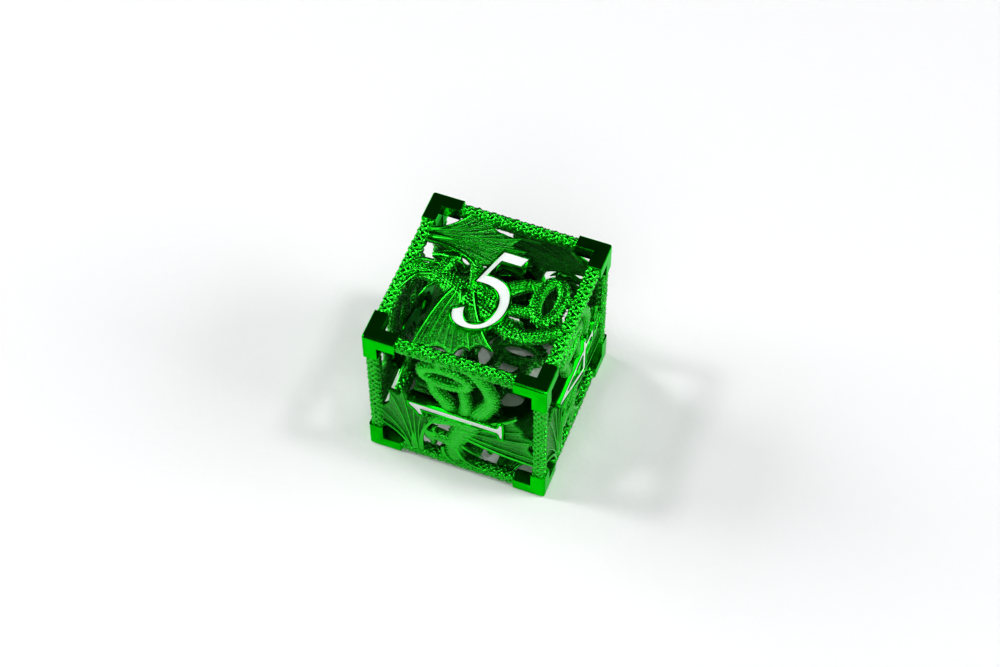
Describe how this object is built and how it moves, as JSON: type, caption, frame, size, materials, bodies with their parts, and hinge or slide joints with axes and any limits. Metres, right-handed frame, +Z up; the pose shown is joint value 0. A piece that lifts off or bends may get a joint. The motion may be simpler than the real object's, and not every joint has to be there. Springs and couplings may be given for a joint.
{
  "type": "gaming die",
  "caption": "Hollow openwork metal cube die with polished corner blocks, braided edge rails, pierced dragon side screens and serif numerals inlaid with white enamel.",
  "frame": {"origin": "middle of the side numbered 2, which the die stands on", "axes": "+Z up through the side numbered 5, -Y through the side numbered 1, +X through the side numbered 4"},
  "size_m": [0.02, 0.02, 0.02],
  "materials": {
    "polished_plating": "polished metal under glossy translucent green plating",
    "braid_plating": "knobbly cast braid under glossy translucent green plating",
    "dragon_plating": "scaly cast relief under glossy translucent green plating",
    "numeral_plating": "smooth metal rim and side walls under glossy translucent green plating",
    "white_enamel": "glossy white soft enamel, slightly sunken"
  },
  "bodies": {
    "root": {"corner_top_front_left": "polished_plating", "corner_top_front_right": "polished_plating", "corner_top_back_left": "polished_plating", "corner_top_back_right": "polished_plating", "corner_bottom_front_left": "polished_plating", "corner_bottom_front_right": "polished_plating", "corner_bottom_back_left": "polished_plating", "corner_bottom_back_right": "polished_plating", "rail_top_back": "braid_plating", "rail_top_front": "braid_plating", "rail_bottom_back": "braid_plating", "rail_bottom_front": "braid_plating", "rail_top_right": "braid_plating", "rail_top_left": "braid_plating", "rail_bottom_right": "braid_plating", "rail_bottom_left": "braid_plating", "rail_back_right": "braid_plating", "rail_back_left": "braid_plating", "rail_front_right": "braid_plating", "rail_front_left": "braid_plating", "dragon_head_1": "dragon_plating", "dragon_tail_1": "dragon_plating", "upper_wing_1": "dragon_plating", "lower_wing_1": "dragon_plating", "numeral_1": "numeral_plating", "enamel_1": "white_enamel", "dragon_head_2": "dragon_plating", "dragon_tail_2": "dragon_plating", "upper_wing_2": "dragon_plating", "lower_wing_2": "dragon_plating", "numeral_2": "numeral_plating", "enamel_2": "white_enamel", "dragon_head_3": "dragon_plating", "dragon_tail_3": "dragon_plating", "upper_wing_3": "dragon_plating", "lower_wing_3": "dragon_plating", "numeral_3": "numeral_plating", "enamel_3": "white_enamel", "dragon_head_4": "dragon_plating", "dragon_tail_4": "dragon_plating", "upper_wing_4": "dragon_plating", "lower_wing_4": "dragon_plating", "numeral_4": "numeral_plating", "enamel_4": "white_enamel", "dragon_head_5": "dragon_plating", "dragon_tail_5": "dragon_plating", "upper_wing_5": "dragon_plating", "lower_wing_5": "dragon_plating", "numeral_5": "numeral_plating", "enamel_5": "white_enamel", "dragon_head_6": "dragon_plating", "dragon_tail_6": "dragon_plating", "upper_wing_6": "dragon_plating", "lower_wing_6": "dragon_plating", "numeral_6": "numeral_plating", "enamel_6": "white_enamel"}
  },
  "joints": []
}
